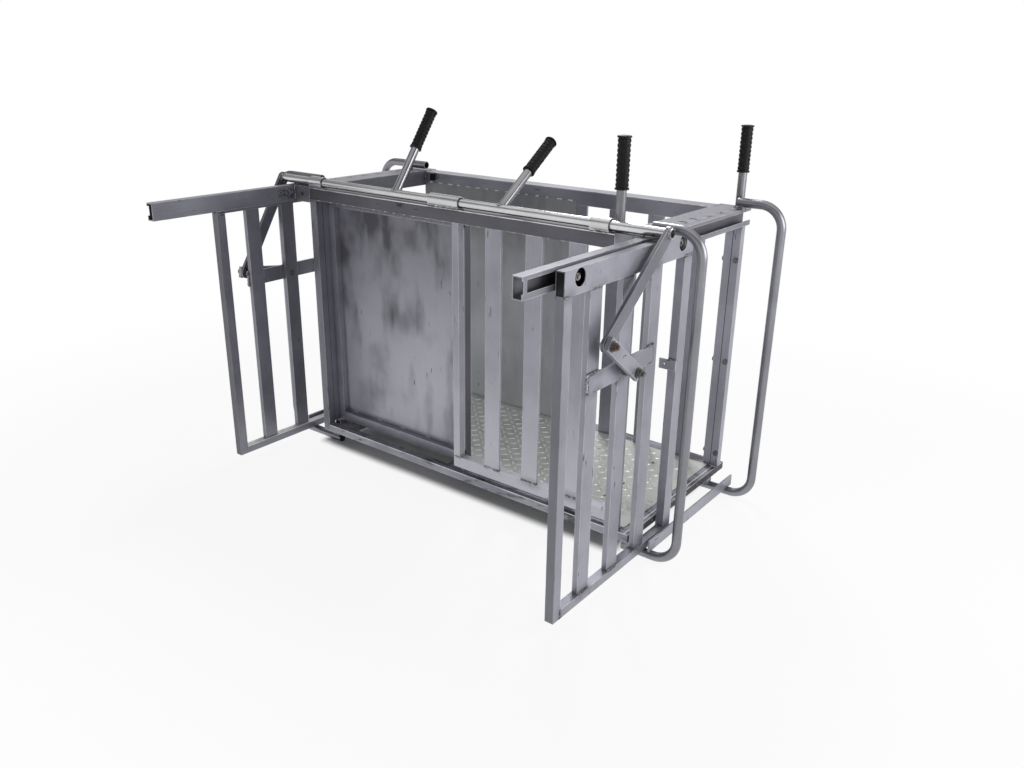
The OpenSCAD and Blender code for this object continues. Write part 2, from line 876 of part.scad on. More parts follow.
// Catch plate on the inner stile, reaching in past the face of the gate
module gate_catch() {
  y1 = gate_len - gate_end_w;
  z1 = pivot_z - catch_drop;
  difference() {
    slab([gate_out - catch_len, y1 - catch_t, z1 - catch_h], [gate_out, y1, z1]);
    translate([gate_x - catch_h / 3, y1 + over, z1 - catch_h / 2]) rotate([90, 0, 0])
      cylinder(h = catch_t + 2 * over, r = catch_hole_r);
  }
}

module gate_catch_left() {
  color("silver") on_left() at_gate(left_swing) gate_catch();
}

module gate_catch_right() {
  color("silver") at_gate(right_swing) gate_catch();
}

// Roller axles, link bolt with its spacer, washer and nut
module gate_fixings() {
  for (y = [roller_y, gate_len - roller_end]) {
    rod_x(roller_x - ring_w, gate_x + wall, y, axle_z, axle_r);
    rod_x(roller_x - ring_w - ring_w / 2, roller_x - ring_w / 2, y, axle_z, collar_r);
    hex_x(gate_x + wall, gate_x + wall + axle_head, y, axle_z, hex_r);
    difference() {
      rod_x(roller_x + roller_w + ring_w / 2, gate_x, y, axle_z, collar_r);
      rod_x(roller_x, gate_x + over, y, axle_z, axle_r);
    }
  }
  rod_x(slat_face - gate_slat_t, nut_x + washer_t + nut_h + bolt_tail, pivot_in, pivot_z, bolt_r);
  hex_x(slat_face - gate_slat_t - head_h / 2, slat_face - gate_slat_t, pivot_in, pivot_z, hex_r);
  difference() {
    rod_x(band_x, link_x - link_gap / 2, pivot_in, pivot_z, washer_r);
    rod_x(band_x - over, link_x, pivot_in, pivot_z, bolt_r);
  }
  rod_x(nut_x, nut_x + washer_t, pivot_in, pivot_z, washer_r);
  hex_x(nut_x + washer_t, nut_x + washer_t + nut_h, pivot_in, pivot_z, hex_r);
}

module gate_fixings_left() {
  color("sienna") on_left() at_gate(left_swing) gate_fixings();
}

module gate_fixings_right() {
  color("sienna") at_gate(right_swing) gate_fixings();
}

// Flat link from the crank bolt to the gate
module link(s) {
  translate([0, pivot_y(s), pivot_z]) rotate([link_lean(s), 0, 0]) difference() {
    slab([link_x, -link_len - link_end, -crank_w / 2], [link_x + link_t, link_end, crank_w / 2]);
    rod_x(link_x - over, link_x + link_t + over, -link_len, 0, bolt_r);
    rod_x(link_x - over, link_x + link_t + over, 0, 0, bolt_r + fit_gap);
  }
}

module link_left() {
  color("silver") on_left() link(left_swing);
}

module link_right() {
  color("silver") link(right_swing);
}

// Outer half of the crank pivot, with its washer and nut on the link
module link_bolt(s) {
  end_x = link_x + link_t;
  translate([0, pivot_y(s), pivot_z]) rotate([link_lean(s), 0, 0]) {
    rod_x(link_x, end_x + washer_t + nut_h + bolt_tail, -link_len, 0, bolt_r);
    rod_x(end_x, end_x + washer_t, -link_len, 0, washer_r);
    hex_x(end_x + washer_t, end_x + washer_t + nut_h, -link_len, 0, hex_r);
  }
}

module link_bolt_left() {
  color("sienna") on_left() link_bolt(left_swing);
}

module link_bolt_right() {
  color("sienna") link_bolt(right_swing);
}

module roller(y) {
  difference() {
    rod_x(roller_x, roller_x + roller_w, y, axle_z, roller_r);
    rod_x(roller_x - over, roller_x + roller_w + over, y, axle_z, axle_r + fit_gap);
  }
}

module roller_left_out() {
  color("white") on_left() at_gate(left_swing) roller(roller_y);
}

module roller_left_in() {
  color("white") on_left() at_gate(left_swing) roller(gate_len - roller_end);
}

module roller_right_out() {
  color("white") at_gate(right_swing) roller(roller_y);
}

module roller_right_in() {
  color("white") at_gate(right_swing) roller(gate_len - roller_end);
}

base_frame();
floor_plate();
post_near_left();
post_far_left();
post_near_right();
post_far_right();
near_top_rail();
far_top_rail();
end_rail_left();
end_rail_right();
track_left();
track_right();
near_slats();
panel_frame();
panel_sheet();
far_slats();
far_sheet();
loop_near_left();
loop_near_right();
loop_far_left();
loop_far_right();
guide_left();
guide_right();
sleeve_left();
sleeve_mid();
sleeve_right();
bush_left();
bush_mid();
bush_right();
hand_post_near();
hand_post_far();
hand_grip_near();
hand_grip_far();
bump_stop();
post_bolts();
torque_tube_left();
lever_left();
grip_left();
crank_left();
crank_bolt_left();
torque_tube_right();
lever_right();
grip_right();
crank_right();
crank_bolt_right();
gate_frame_left();
gate_catch_left();
gate_fixings_left();
gate_frame_right();
gate_catch_right();
gate_fixings_right();
link_left();
link_bolt_left();
link_right();
link_bolt_right();
roller_left_out();
roller_left_in();
roller_right_out();
roller_right_in();
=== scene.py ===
# %% [markdown]
# # Dressing a livestock weighing crate
# The crate is welded from mill finish aluminium bar, pipe, sheet and tread plate. The solids already have
# the right sizes and joints, so this lesson adds what a solid lacks: weld beads, raised tread bars, moulded
# grips, bolt threads and worn metal. Lengths are in metres, X runs along the crate and Z points up.

# %% Load the frame
import json
import math
import random

import bmesh
import bpy
from mathutils import Matrix, Vector


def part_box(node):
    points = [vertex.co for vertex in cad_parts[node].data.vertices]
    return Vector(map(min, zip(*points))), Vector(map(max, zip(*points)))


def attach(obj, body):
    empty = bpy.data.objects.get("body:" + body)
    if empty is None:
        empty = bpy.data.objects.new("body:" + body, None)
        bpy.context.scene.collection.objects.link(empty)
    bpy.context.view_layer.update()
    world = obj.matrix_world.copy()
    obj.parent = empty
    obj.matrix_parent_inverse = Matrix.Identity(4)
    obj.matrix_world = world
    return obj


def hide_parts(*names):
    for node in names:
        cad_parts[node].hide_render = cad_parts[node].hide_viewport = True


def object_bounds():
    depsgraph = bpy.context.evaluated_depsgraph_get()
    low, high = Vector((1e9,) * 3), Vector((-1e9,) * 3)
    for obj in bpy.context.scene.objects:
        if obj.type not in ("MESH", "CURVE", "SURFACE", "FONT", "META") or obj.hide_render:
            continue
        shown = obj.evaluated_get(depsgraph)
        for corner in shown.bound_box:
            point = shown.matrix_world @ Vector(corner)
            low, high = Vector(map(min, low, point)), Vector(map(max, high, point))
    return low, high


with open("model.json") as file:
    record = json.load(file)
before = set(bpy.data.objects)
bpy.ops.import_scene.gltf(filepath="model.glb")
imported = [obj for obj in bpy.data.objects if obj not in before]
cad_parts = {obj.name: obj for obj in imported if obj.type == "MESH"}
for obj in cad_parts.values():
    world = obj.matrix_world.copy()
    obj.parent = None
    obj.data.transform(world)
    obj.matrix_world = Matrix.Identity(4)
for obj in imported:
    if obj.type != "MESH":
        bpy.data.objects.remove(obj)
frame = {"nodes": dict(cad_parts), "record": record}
cad_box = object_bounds()
nodes = frame["nodes"]
body_of_node = {n: b for b, names in frame["record"]["behaviour"]["bodies"].items() for n in names}
print("nodes", len(nodes), "box", [round(x, 3) for c in cad_box for x in c])

# %% [markdown]
# ## Camera
# The photograph was taken from the right front corner, a little above the top rail. A camera could be pointed
# at a target, but that can't hold a slight roll. Three turns and a place can: the camera starts looking straight
# down, is rolled a little, tipped up, then swung round the vertical.

# %% Camera
SENSOR, LENS = 36.0, 31.37
CAMERA_AT = (1.8061, -2.3389, 1.3504)
SWING, TIP, ROLL = 0.6496, 0.3615, 0.0152
camera = bpy.data.objects.new("camera", bpy.data.cameras.new("camera"))
bpy.context.scene.collection.objects.link(camera)
camera.data.sensor_width = SENSOR
camera.data.lens = LENS
camera.matrix_world = (
    Matrix.Translation(CAMERA_AT)
    @ Matrix.Rotation(SWING, 4, "Z")
    @ Matrix.Rotation(math.pi / 2 - TIP, 4, "X")
    @ Matrix.Rotation(ROLL, 4, "Z")
)
bpy.context.scene.camera = camera
bpy.context.scene.view_settings.view_transform = "Standard"
print("camera at", CAMERA_AT, "lens", LENS, "mm")

# %% [markdown]
# ## Shader sums in plain Python
# A finish is a small calculation on every point of a surface. It could be wired up node by node. Wrapping a
# socket in a class that knows plus, minus and times lets the calculation read like one instead, and a single
# method adds every other kind of node.


# %% Socket sums
def feed(tree, plug, v):
    if isinstance(v, Value):
        tree.links.new(v.socket, plug)
    else:
        plug.default_value = v


class Value:
    def __init__(self, tree, socket):
        self.tree = tree
        self.socket = socket

    def sum_node(self, operation, a, b):
        n = self.tree.nodes.new("ShaderNodeMath")
        n.operation = operation
        for plug, v in zip(n.inputs, (a, b)):
            feed(self.tree, plug, v)
        return Value(self.tree, n.outputs[0])

    def __add__(self, other):
        return self.sum_node("ADD", self, other)

    def __radd__(self, other):
        return self.sum_node("ADD", other, self)

    def __sub__(self, other):
        return self.sum_node("SUBTRACT", self, other)

    def __rsub__(self, other):
        return self.sum_node("SUBTRACT", other, self)

    def __mul__(self, other):
        return self.sum_node("MULTIPLY", self, other)

    def __rmul__(self, other):
        return self.sum_node("MULTIPLY", other, self)

    def least(self, other):
        return self.sum_node("MINIMUM", self, other)

    def most(self, other):
        return self.sum_node("MAXIMUM", self, other)


print("a socket knows", [word.strip("_") for word in vars(Value) if callable(getattr(Value, word))])

# %% Any other node
SMOOTH = {"interpolation_type": "SMOOTHSTEP"}
SEEN_BY = ("Is Camera Ray", "Is Glossy Ray", "Is Transmission Ray")


class Nodes:
    def __init__(self, tree):
        self.tree = tree

    def node(self, kind, settings=(), out=0, **sockets):
        n = self.tree.nodes.new(kind)
        for key, v in dict(settings).items():
            setattr(n, key, v)
        for key, v in sockets.items():
            number = key[1:]
            plug = n.inputs[int(number)] if number.isdigit() else n.inputs[key.replace("_", " ")]
            feed(self.tree, plug, v)
        return Value(self.tree, n.outputs[out])

    def step(self, v, low, high, start=0.0, end=1.0):
        limits = dict(From_Min=low, From_Max=high, To_Min=start, To_Max=end)
        return self.node("ShaderNodeMapRange", SMOOTH, Value=v, **limits)

    def height(self, place):
        return self.node("ShaderNodeSeparateXYZ", out="Z", Vector=place)

    def seen_directly(self):
        camera_ray, glossy, through = [self.node("ShaderNodeLightPath", out=ray) for ray in SEEN_BY]
        return camera_ray.most(glossy).most(through)


print("a background is seen by", SEEN_BY)


# %% A finish
class Finish(Nodes):
    def __init__(self, name):
        self.material = bpy.data.materials.new(name)
        self.material.use_nodes = True
        super().__init__(self.material.node_tree)
        self.shader = self.tree.nodes["Principled BSDF"]
        self.place = self.node("ShaderNodeTexCoord", out="Object")

    def set(self, name, v):
        feed(self.tree, self.shader.inputs[name], (*v, 1.0) if isinstance(v, tuple) else v)

    def vector(self, operation, *parts, out="Vector"):
        plugs = {"_" + str(i): part for i, part in enumerate(parts)}
        return self.node("ShaderNodeVectorMath", {"operation": operation}, out, **plugs)

    def noise(self, scale, detail=3.0, stretch=(1, 1, 1), shift=(0, 0, 0), rough=0.5):
        p = self.node("ShaderNodeMapping", Vector=self.place, Scale=stretch, Location=shift)
        return self.node("ShaderNodeTexNoise", Vector=p, Scale=scale, Detail=detail, Roughness=rough)

    def mix(self, share, a, b):
        a, b = [v if isinstance(v, Value) else (*v, 1.0) for v in (a, b)]
        return self.node("ShaderNodeMix", {"data_type": "RGBA"}, 2, _0=share, _6=a, _7=b)

    def near_box(self, centre, half):
        p = self.vector("ABSOLUTE", self.vector("SUBTRACT", self.place, centre))
        p = self.vector("MAXIMUM", self.vector("SUBTRACT", p, half), (0, 0, 0))
        return self.vector("LENGTH", p, out="Value")

    def bump(self, height, distance, strength=1.0):
        self.set("Normal", self.node("ShaderNodeBump", Height=height, Distance=distance, Strength=strength))

    def edge(self, radius):
        soft = self.node("ShaderNodeBevel", {"samples": 4}, Radius=radius)
        flat = self.node("ShaderNodeNewGeometry", out="Normal")
        return self.step(1.0 - self.vector("DOT_PRODUCT", soft, flat, out="Value"), 0.01, 0.12)

    # Painted shade: high where the surface is shut in, in corners and crevices.
    def corner(self, reach):
        open_sky = self.node("ShaderNodeAmbientOcclusion", {"samples": 4}, "AO", Distance=reach)
        return 1.0 - self.step(open_sky, 0.25, 0.75)


print("a finish can", [word for word in vars(Finish) if not word.startswith("_")])

# %% [markdown]
# ## Studio floor
# The crate is shown on plain white, with a little shade under it. Stronger lamps would turn any floor white, and
# would bleach the metal too. This floor is one round disc that glows to whatever looks straight at it, except
# close under the crate, where it stays matt and keeps the shadow.

# %% Floor disc
GROUND = cad_box[0].z
FLOOR_RADIUS = 14.0
bm = bmesh.new()
bmesh.ops.create_circle(bm, cap_ends=True, radius=FLOOR_RADIUS, segments=64)
bmesh.ops.translate(bm, verts=bm.verts, vec=(0, 0, GROUND))
floor_mesh = bpy.data.meshes.new("studio_floor")
bm.to_mesh(floor_mesh)
bm.free()
studio_floor = bpy.data.objects.new("studio_floor", floor_mesh)
bpy.context.scene.collection.objects.link(studio_floor)
print("floor at", round(GROUND, 4))

# %% Floor finish
UNDER_CRATE = (0.62, 0.28, 0.01)
SELF_LIT, SEEN_NEAR, SEEN_FAR = 0.46, 0.44, 0.1
pale = Finish("pale_floor")
pale.set("Base Color", (0.86, 0.86, 0.87))
pale.set("Roughness", 0.9)
pale.set("Specular IOR Level", 0.1)
beside = pale.near_box((0, 0, GROUND), UNDER_CRATE)
seen = SEEN_NEAR + pale.step(beside, 0.5, 2.2) * SEEN_FAR
share = pale.step(beside, 0.0, 0.05) * (SELF_LIT + pale.seen_directly() * seen)
matt = Value(pale.tree, pale.shader.outputs[0])
blend = pale.node("ShaderNodeMixShader", _0=share, _1=matt, _2=pale.node("ShaderNodeEmission"))
feed(pale.tree, pale.tree.nodes["Material Output"].inputs["Surface"], blend)
floor_mesh.materials.append(pale.material)
print("floor glow from", SELF_LIT, "to", SELF_LIT + SEEN_NEAR + SEEN_FAR)

# %% [markdown]
# ## Surroundings and lamps
# Bare metal shows what stands round it, and an even white room would leave it flat. A picture of a real yard
# could be used. Three plain bands are enough here: white round the horizon, dim higher up and white overhead.
# One broad lamp high on the far side leaves the near faces in soft shade as the sun did, and a weaker one fills
# the right end.

# %% Surroundings
AMBIENT = 0.29
WHITE = 1.0 - AMBIENT
DIM = -0.1
HORIZON, OVERHEAD = (0.1, 0.6), (0.6, 0.82)
world = bpy.data.worlds.new("studio")
bpy.context.scene.world = world
world.use_nodes = True
studio = Nodes(world.node_tree)
sky = studio.tree.nodes["Background"]
sky.inputs["Color"].default_value = (1.0, 1.0, 1.0, 1.0)
up = studio.height(studio.node("ShaderNodeTexCoord", out="Generated"))
glare = studio.step(up, *HORIZON, WHITE, DIM) + studio.step(up, *OVERHEAD, 0.0, WHITE - DIM)
feed(studio.tree, sky.inputs["Strength"], AMBIENT + studio.seen_directly() * glare)
print("sky", AMBIENT, "to the metal, up to", AMBIENT + WHITE, "where it is seen")


# %% Lamps
def lamp(name, place, target, size, watts):
    data = bpy.data.lights.new(name, "AREA")
    data.size = size
    data.energy = watts
    obj = bpy.data.objects.new(name, data)
    bpy.context.scene.collection.objects.link(obj)
    obj.location = place
    obj.rotation_euler = (Vector(target) - Vector(place)).to_track_quat("-Z", "Y").to_euler()
    print("lamp", name, watts, "W")


lamp("key", (-0.9, 1.7, 3.2), (0.0, -0.1, 0.3), 0.9, 56)
lamp("side", (2.2, 0.2, 1.3), (0.7, -0.4, 0.4), 1.2, 17)

# %% [markdown]
# ## Where the welds run
# Every joint in the crate is a bead of weld, and the torch leaves soot beside it. Beads and soot could be placed
# one by one. Here both come from one list, so the smoke always sits under its bead: a weld is a run along one
# axis, given as a pair of numbers, with a bead radius and the pieces it dirties.

# %% Weld list
welds = []
sides = (("left", -1), ("right", 1))


def weld(on, x, y, z, r, also=()):
    ends = zip(*[v if isinstance(v, tuple) else (v, v) for v in (x, y, z)])
    start, end = [Vector(p) for p in ends]
    welds.append((on, start, end, r, also))


def gate_start(side):
    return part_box("gate_frame_" + side)[0].y


print("gates start at", [round(gate_start(side), 3) for side, s in sides])

# %% Welds on the gates
GATE_FACE, GATE_BACK = 0.736, 0.710
SLAT_FACE, SLAT_END = 0.7332, 0.7318
SLAT_SPANS = ((0.117, 0.167), (0.264, 0.314), (0.411, 0.436))
BAND_EDGES, BAND_UPRIGHT = (0.6138, 0.5622), (0.566, 0.612)
BAND_ENDS = ((0.1142, 0.0048), (0.4370, 0.0034))
SLAT_TOP, SLAT_FOOT, STILE_TOP = 0.8270, -0.0062, 0.828
STILE_SPANS = ((0.002, 0.029), (0.578, 0.618))
STILE_SIDES = (0.0312, 0.5770)
SILL_TOP, SILL_UPRIGHT = -0.0066, (-0.031, -0.009)
CATCH_Y, CATCH_FOOT = 0.5752, 0.5288


def gate_welds(side, s):
    gate, y0 = "gate_frame_" + side, gate_start(side)
    for a, b in SLAT_SPANS:
        for z in BAND_EDGES:
            weld(gate, SLAT_FACE * s, (y0 + a, y0 + b), z, 0.0026)
        for z in (SLAT_TOP, SLAT_FOOT):
            weld(gate, SLAT_END * s, (y0 + a, y0 + b), z, 0.0018)
    for y, r in BAND_ENDS:
        weld(gate, SLAT_FACE * s, y0 + y, BAND_UPRIGHT, r)
    for a, b in STILE_SPANS:
        weld(gate, GATE_FACE * s, (y0 + a, y0 + b), STILE_TOP, 0.0015)
        weld(gate, GATE_BACK * s, (y0 + a, y0 + b), STILE_TOP, 0.0014)
    for y in STILE_SIDES:
        weld(gate, GATE_FACE * s, y0 + y, SILL_UPRIGHT, 0.0017)
        weld(gate, (0.713 * s, 0.733 * s), y0 + y, SILL_TOP, 0.0022)
    weld("gate_catch_" + side, (0.712 * s, 0.735 * s), y0 + CATCH_Y, CATCH_FOOT, 0.0024, (gate,))


print("welded slats on each gate", len(SLAT_SPANS))

# %% Welds on the ends
LOOP_Y, LOOP_EDGE = 0.263, 0.0135
NEAR_FACE = -0.3202
STITCHES, STITCH_PITCH, STITCH = 9, 0.075, 0.016


def end_welds(side, s):
    track, rail = "track_" + side, "end_rail_" + side
    weld(rail, 0.6795 * s, -0.3205, (0.845, 0.893), 0.0026, (track,))
    for k in range(STITCHES):
        y = -0.30 + STITCH_PITCH * k
        weld(rail, 0.680 * s, (y, y + STITCH), 0.8962, 0.0022, (track,))
    for y, top in ((-0.29, "near_top_rail"), (0.29, "far_top_rail")):
        weld(rail, 0.605 * s, (y - 0.028, y + 0.028), 0.8935, 0.0024, (top,))
        weld(rail, 0.6045 * s, math.copysign(0.2595, y), (0.856, 0.892), 0.0024, (top,))
    for name, y in (("near", -LOOP_Y), ("far", LOOP_Y)):
        pipe = "loop_" + name + "_" + side
        for dy in (-LOOP_EDGE, LOOP_EDGE):
            weld(pipe, (0.690 * s, 0.706 * s), y + dy, 0.8975, 0.0026, (track,))
        weld("guide_" + side, 0.7485 * s, (y - 0.010, y + 0.010), -0.0335, 0.0026, (pipe,))


for side, s in sides:
    gate_welds(side, s)
    end_welds(side, s)
weld("loop_far_right", 0.6885, (0.250, 0.276), 0.903, 0.005, ("track_right",))
print("welds on gates and ends", len(welds))

# %% Welds along the two long sides
SLAT_STARTS, SLAT_RAIL_TOP = (0.166, 0.314, 0.462), 0.0826
for name in ("sleeve_left", "sleeve_mid", "sleeve_right"):
    lo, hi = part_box(name)
    for y, r in ((-0.3203, 0.0024), (-0.2938, 0.0022)):
        weld(name, (lo.x + 0.002, hi.x - 0.002), y, 0.8934, r, ("near_top_rail",))
for x in SLAT_STARTS:
    weld("near_slats", (x + 0.002, x + 0.056), NEAR_FACE, 0.0822, 0.0016)
    weld("near_slats", (x + 0.003, x + 0.055), -0.3118, SLAT_RAIL_TOP, 0.0026)
weld("near_slats", (0.038, 0.060), NEAR_FACE, 0.0824, 0.0018)
weld("near_slats", 0.0612, (-0.318, -0.297), SLAT_RAIL_TOP, 0.0022)
weld("post_near_left", (-0.604, -0.576), NEAR_FACE, 0.8530, 0.0016, ("near_top_rail",))
weld("post_near_left", -0.5748, (-0.318, -0.295), 0.0255, 0.0026, ("base_frame",))
for x in (0.655, 0.681):
    weld("post_far_right", (x, x + 0.024), 0.2657, 0.8415, 0.0018)
    weld("post_far_right", (x, x + 0.024), 0.2654, 0.0247, 0.0030, ("base_frame",))
weld("post_near_right", 0.661, (-0.3195, -0.291), 0.0255, 0.0026, ("base_frame",))
for x in (0.0178, -0.5505):
    weld("panel_frame", x, (-0.266, -0.243), 0.068, 0.0018)
print("welds in all", len(welds))

# %% [markdown]
# ## Mill finish aluminium
# Extruded bar keeps faint lines along its length, cloudy patches from handling, a few dark nicks and a dull
# bloom, and its corners wear bright; the pale edges are also a painted highlight. A photograph of metal could be
# wrapped round each bar, but it would show seams. Noise fills space instead: pulled out along the bar it makes the
# lines, slow noise makes the patches, and soot darkens whatever lies within a centimetre or two of a weld. Inside
# corners and creases get painted shade, and a piece can be painted paler low down, as painted light from the ground.

# %% Soot beside the welds
# One dark colour for soot, nicks and stains, and for painted shade.
SOOT_AND_SHADE = (0.04, 0.04, 0.044)


def torch_soot(f, name, cloud):
    near = None
    for on, a, b, r, also in welds:
        if name == on or name in also:
            d = f.near_box(tuple((a + b) / 2), [abs(x) / 2 for x in b - a])
            near = d if near is None else near.least(d)
    if near is None:
        return None
    ragged = near + f.noise(160.0, 3.0, rough=0.7) * 0.012 - 0.006
    patchy = f.step(f.noise(48.0, 3.0, shift=(2, 9, 1)), 0.34, 0.54)
    soot = (1.0 - f.step(ragged, 0.0015, 0.0085)) * patchy
    haze = (1.0 - f.step(near, 0.0, 0.03)) * f.step(cloud, 0.42, 0.6) * 0.35
    return (soot * 0.9).most(haze)


print("pieces with soot", len({name for weld_run in welds for name in (weld_run[0], *weld_run[4])}))

# %% Aluminium finish
# The blue cast of the bar colour is painted skylight.
LIGHT = (0.41, 0.41, 0.475)
# Colours for painted light low on a piece, for worn edges that are also a painted highlight, and for painted
# highlights.
GROUND_LIT, WORN_AND_HIGHLIGHT, HIGHLIGHT = (0.78, 0.78, 0.84), (0.80, 0.80, 0.82), (0.88, 0.88, 0.90)
STRETCH = {"X": (1, 26, 26), "Y": (26, 1, 26), "Z": (26, 26, 1)}
EDGE_WIDTH, CORNER_REACH = 0.0026, 0.022


def pulled(along, share):
    return tuple(share if axis == along else 1.0 for axis in "XYZ")


def scuffs(f, along, scuff_and_shadow):
    rub = f.noise(24.0, 6.0, pulled(along, 0.35), (1, 7, 4), 0.7)
    return f.step(rub, 0.56 - 0.1 * scuff_and_shadow, 0.66 - 0.08 * scuff_and_shadow) * scuff_and_shadow


def aluminium(
    name, along, light=LIGHT, dark=0.66, metal=0.6, rough=0.38, scuff_and_shadow=0.0, painted_ground_light=0.0, extra=(), highlights=(), pipe=False
):
    f = Finish(name)
    cloud = f.noise(5.5, 4.0, shift=(3, 1, 2), rough=0.6)
    line = cloud if pipe else f.noise(7.0, 4.0, STRETCH[along], rough=0.6)
    grey = tuple(c * dark for c in light)
    colour = f.mix(f.step(line * 0.22 + cloud * 0.98 - 0.1, 0.2, 0.85), grey, light)
    # Painted light: the lower part of the piece is paler, as if lit by bright ground.
    if painted_ground_light:
        colour = f.mix((1.0 - f.step(f.height(f.place), 0.05, 0.6)) * painted_ground_light, colour, GROUND_LIT)
    nick = f.step(f.noise(70.0, 2.0, pulled(along, 0.25), (5, 5, 5)), 0.665, 0.71)
    marks_and_shade = nick * f.step(cloud, 0.45, 0.62) * (0.3 if pipe else 0.65)
    if scuff_and_shadow:
        marks_and_shade = marks_and_shade.most(scuffs(f, along, scuff_and_shadow))
    for stain in extra:
        marks_and_shade = marks_and_shade.most(stain(f))
    soot = torch_soot(f, name, cloud)
    if soot is not None:
        marks_and_shade = marks_and_shade.most(soot)
    if not pipe:
        # Pale edges: wear, and a painted highlight for the light that rounded corners catch.
        worn_and_highlight = f.edge(EDGE_WIDTH) * f.step(f.noise(16.0, 3.0, shift=(6, 2, 8)), 0.32, 0.52)
        colour = f.mix(worn_and_highlight * 0.85, colour, WORN_AND_HIGHLIGHT)
        # Painted shade in corners and creases joins the dark marks.
        marks_and_shade = marks_and_shade.most(f.corner(CORNER_REACH) * 0.65)
    # Painted highlights: bright lines along chosen edges and tops.
    for highlight_line in highlights:
        highlight = highlight_line(f) * f.step(cloud, 0.3, 0.5)
        colour = f.mix(highlight, colour, HIGHLIGHT)
        marks_and_shade = marks_and_shade * (1.0 - highlight)
    f.set("Base Color", f.mix(marks_and_shade, colour, SOOT_AND_SHADE))
    f.set("Metallic", metal)
    f.set("Roughness", rough + cloud * 0.22 - 0.11 + marks_and_shade * 0.25)
    f.bump(line * 0.6 + cloud * 0.4 - nick * 0.8, 0.0006, 0.03 if pipe else 0.3)
    return f.material


print("bar colour", LIGHT, "soot", SOOT_AND_SHADE)

# %% [markdown]
# ## Stains and painted shade with a place
# Some marks belong to one spot: smoky smears on the sheets and a burst of soot where the left track was welded.
# Others are painted shade: the sheets darker towards the top, the black inside of a tube, rail, slot or channel,
# the thin dark line in the gap where two bars lie side by side, and darker tops and faces of some bars. They
# could be painted by hand on an unwrapped mesh. A box with a soft or ragged edge, given by its middle and its
# half sizes, needs no unwrapping and can be read and moved.


# %% Kinds of stain
def smears(f):
    # Painted shade: the sheet darker towards the top; the blotches below are smoke stains.
    shade_towards_top = f.step(f.height(f.place), 0.25, 0.95)
    wide = f.step(f.noise(4.2, 3.0, (1.3, 1.3, 1.0), (0.3, 0.4, 0.9), 0.5), 0.44, 0.70)
    thin = f.step(f.noise(6.0, 3.0, (2.0, 2.0, 0.55), (4, 2, 7), 0.5), 0.50, 0.74)
    return (shade_towards_top * 0.56 + wide * 0.42 + thin * 0.42).least(0.85)


def faint_smears(f):
    # Painted shade: the far sheet darker towards the top, over fainter smears.
    return smears(f) * 0.4 + f.step(f.height(f.place), 0.55, 0.86) * 0.34


def patch(centre, half, soft, depth=0.9, broken=0.0):
    def stain(f):
        ragged = f.near_box(centre, half) + f.noise(120.0, 5.0, rough=0.75) * soft - soft / 2
        flecks = f.step(f.noise(170.0, 4.0, shift=(7, 3, 1), rough=0.7), broken - 0.06, broken + 0.04)
        return (1.0 - f.step(ragged, 0.0, soft * 0.5)) * flecks * depth

    return stain


# A box with a sharp edge: the mask for painted shade in gaps and hollows, and for painted highlights.
def seam(centre, half, depth=0.9):
    def stain(f):
        return (1.0 - f.step(f.near_box(centre, half), 0.0003, 0.0012)) * depth

    return stain


print("kinds of stain", [kind.__name__ for kind in (smears, faint_smears, patch, seam)])

# %% Dark stains and painted shade
GATE_X, GATE_RAIL_Z = 0.723, 0.8585
STAINS_AND_SHADE = {
    "end_rail_right": [
        # Painted shade: the hollow inside of the end rail and its two slots are darkened.
        seam((0.6425, 0.0, 0.8705), (0.0345, 0.316, 0.0222)),
        seam((0.664, -0.0505, 0.8945), (0.0130, 0.0035, 0.002)),
        seam((0.664, 0.0115, 0.8945), (0.0130, 0.0035, 0.002)),
        patch((0.640, -0.02, 0.8962), (0.018, 0.16, 0.0005), 0.03, 0.7, 0.60),
    ],
    # Painted shade: a dark line in the gap between the post's two channels.
    "post_far_right": [seam((0.680, 0.266, 0.43), (0.0005, 0.003, 0.42))],
    # Painted shade: a dark line in the gap beside the post.
    "post_near_left": [seam((-0.575, -0.293, 0.44), (0.003, 0.0004, 0.40), 0.7)],
    "near_top_rail": [patch((-0.18, -0.321, 0.882), (0.014, 0.003, 0.003), 0.014, 0.9, 0.48)],
    # Painted shade: the sill's outer face is darkened.
    "base_frame": [patch((0.704, 0.0, 0.012), (0.0008, 0.34, 0.010), 0.003, 0.8)],
    "panel_frame": [
        # Painted shade: a dark line in the gap between the panel's stile and the centre stile.
        seam((0.0425, -0.256, 0.45), (0.0018, 0.02, 0.41), 0.7),
        # Painted shadow: the top of the panel frame darkened under the top rail.
        patch((-0.27, -0.256, 0.87), (0.5, 0.03, 0.03), 0.04, 0.55),
    ],
    "panel_sheet": [smears],
    "far_sheet": [faint_smears],
}
for side, s in sides:
    # Painted shade inside each gate rail.
    shaded_inside_rail = seam((GATE_X * s, -0.3, GATE_RAIL_Z), (0.0100, 0.9, 0.0272), 0.93)
    # Painted shade: the top of each gate rail and the near end face of the gate are darkened.
    shaded_top = seam((GATE_X * s, -0.3, 0.8895), (0.0135, 0.9, 0.0010), 0.42)
    shaded_end_face = seam((GATE_X * s, gate_start(side), 0.4), (0.014, 0.0006, 0.45), 0.42)
    STAINS_AND_SHADE["gate_frame_" + side] = [shaded_inside_rail, shaded_top, shaded_end_face]
    # Painted shade inside each track channel.
    STAINS_AND_SHADE["track_" + side] = [seam((0.6945 * s, -0.3, 0.869), (0.0108, 1.0, 0.0232), 0.8)]
STAINS_AND_SHADE["track_left"].append(patch((-0.681, -0.356, 0.868), (0.004, 0.026, 0.009), 0.036, 0.9, 0.5))
print("stains", sum(len(marks) for marks in STAINS_AND_SHADE.values()), "on", len(STAINS_AND_SHADE), "pieces")

